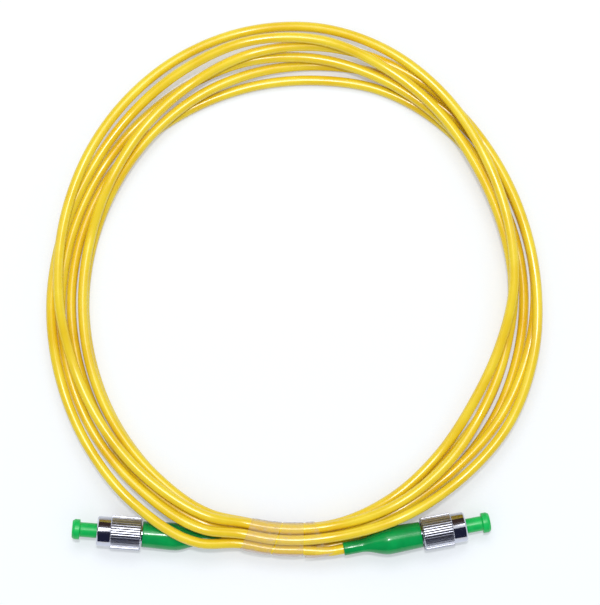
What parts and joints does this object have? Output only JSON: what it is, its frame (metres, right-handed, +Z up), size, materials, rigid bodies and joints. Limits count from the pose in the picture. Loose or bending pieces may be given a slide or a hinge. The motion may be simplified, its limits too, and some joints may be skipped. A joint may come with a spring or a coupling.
{
  "type": "fiber optic patch cord",
  "caption": "Coiled simplex fibre optic patch cord held by clear tape, with a knurled screw connector, moulded boot and pull-off dust cap at each end.",
  "frame": {"origin": "on the floor under the middle of the taped bundle, at the middle tape wrap", "axes": "+Z up, +X along the taped bundle towards the right connector, +Y from the tape across the coil to its far side"},
  "size_m": [0.1482, 0.1605, 0.0135],
  "materials": {
    "cord_jacket": "smooth yellow PVC jacket with a soft sheen",
    "clear_tape": "clear tape with a warm tint",
    "boot_elastomer": "glossy moulded green elastomer",
    "cap_plastic": "bright green moulded plastic",
    "plated_brass": "bright nickel plate on brass",
    "crimp_metal": "plated, marked by the crimping tool",
    "spring_steel": "drawn stainless wire and strip",
    "zirconia": "polished white zirconia ceramic, opaque",
    "aramid": "loose yellow strength yarn",
    "fibre_buffer": "white tight buffer"
  },
  "bodies": {
    "cable": {"cord": "cord_jacket", "tape_wrap_1": "clear_tape", "tape_wrap_2": "clear_tape", "tape_wrap_3": "clear_tape", "left_boot": "boot_elastomer", "left_jacket_tail": "cord_jacket", "left_crimp_sleeve": "crimp_metal", "left_aramid_yarn": "aramid", "left_buffered_fibre": "fibre_buffer", "left_rear_body": "plated_brass", "left_plug_frame": "plated_brass", "left_ferrule_spring": "spring_steel", "right_boot": "boot_elastomer", "right_jacket_tail": "cord_jacket", "right_crimp_sleeve": "crimp_metal", "right_aramid_yarn": "aramid", "right_buffered_fibre": "fibre_buffer", "right_rear_body": "plated_brass", "right_plug_frame": "plated_brass", "right_ferrule_spring": "spring_steel"},
    "left_clip": {"left_retaining_clip": "spring_steel"},
    "left_nut": {"left_coupling_nut": "plated_brass"},
    "left_ferrule": {"left_ferrule_holder": "plated_brass", "left_ferrule": "zirconia"},
    "left_cap": {"left_dust_cap": "cap_plastic"},
    "right_clip": {"right_retaining_clip": "spring_steel"},
    "right_nut": {"right_coupling_nut": "plated_brass"},
    "right_ferrule": {"right_ferrule_holder": "plated_brass", "right_ferrule": "zirconia"},
    "right_cap": {"right_dust_cap": "cap_plastic"}
  },
  "joints": [
    {"name": "left_nut_slide", "type": "slide", "parent": "cable", "child": "left_clip", "axis": [-0.994, 0.0835, 0.0702], "range_m": [0, 0.0035]},
    {"name": "left_nut_turn", "type": "hinge", "parent": "left_clip", "child": "left_nut", "pos_m": [-0.04346, 0.00145, 0.00499], "axis": [-0.994, 0.0835, 0.0702], "continuous": true},
    {"name": "left_ferrule_push", "type": "slide", "parent": "cable", "child": "left_ferrule", "axis": [-0.994, 0.0835, 0.0702], "range_m": [-0.001, 0], "stiffness_N_per_m": 1500, "deforming": ["left_ferrule_spring"]},
    {"name": "left_cap_pull", "type": "slide", "parent": "left_ferrule", "child": "left_cap", "axis": [-0.994, 0.0835, 0.0702], "range_m": [0, 0.012]},
    {"name": "right_nut_slide", "type": "slide", "parent": "cable", "child": "right_clip", "axis": [0.9829, 0.1769, -0.0507], "range_m": [0, 0.0035]},
    {"name": "right_nut_turn", "type": "hinge", "parent": "right_clip", "child": "right_nut", "pos_m": [0.04069, 0.00143, 0.00564], "axis": [0.9829, 0.1769, -0.0507], "continuous": true},
    {"name": "right_ferrule_push", "type": "slide", "parent": "cable", "child": "right_ferrule", "axis": [0.9829, 0.1769, -0.0507], "range_m": [-0.001, 0], "stiffness_N_per_m": 1500, "deforming": ["right_ferrule_spring"]},
    {"name": "right_cap_pull", "type": "slide", "parent": "right_ferrule", "child": "right_cap", "axis": [0.9829, 0.1769, -0.0507], "range_m": [0, 0.012]}
  ]
}
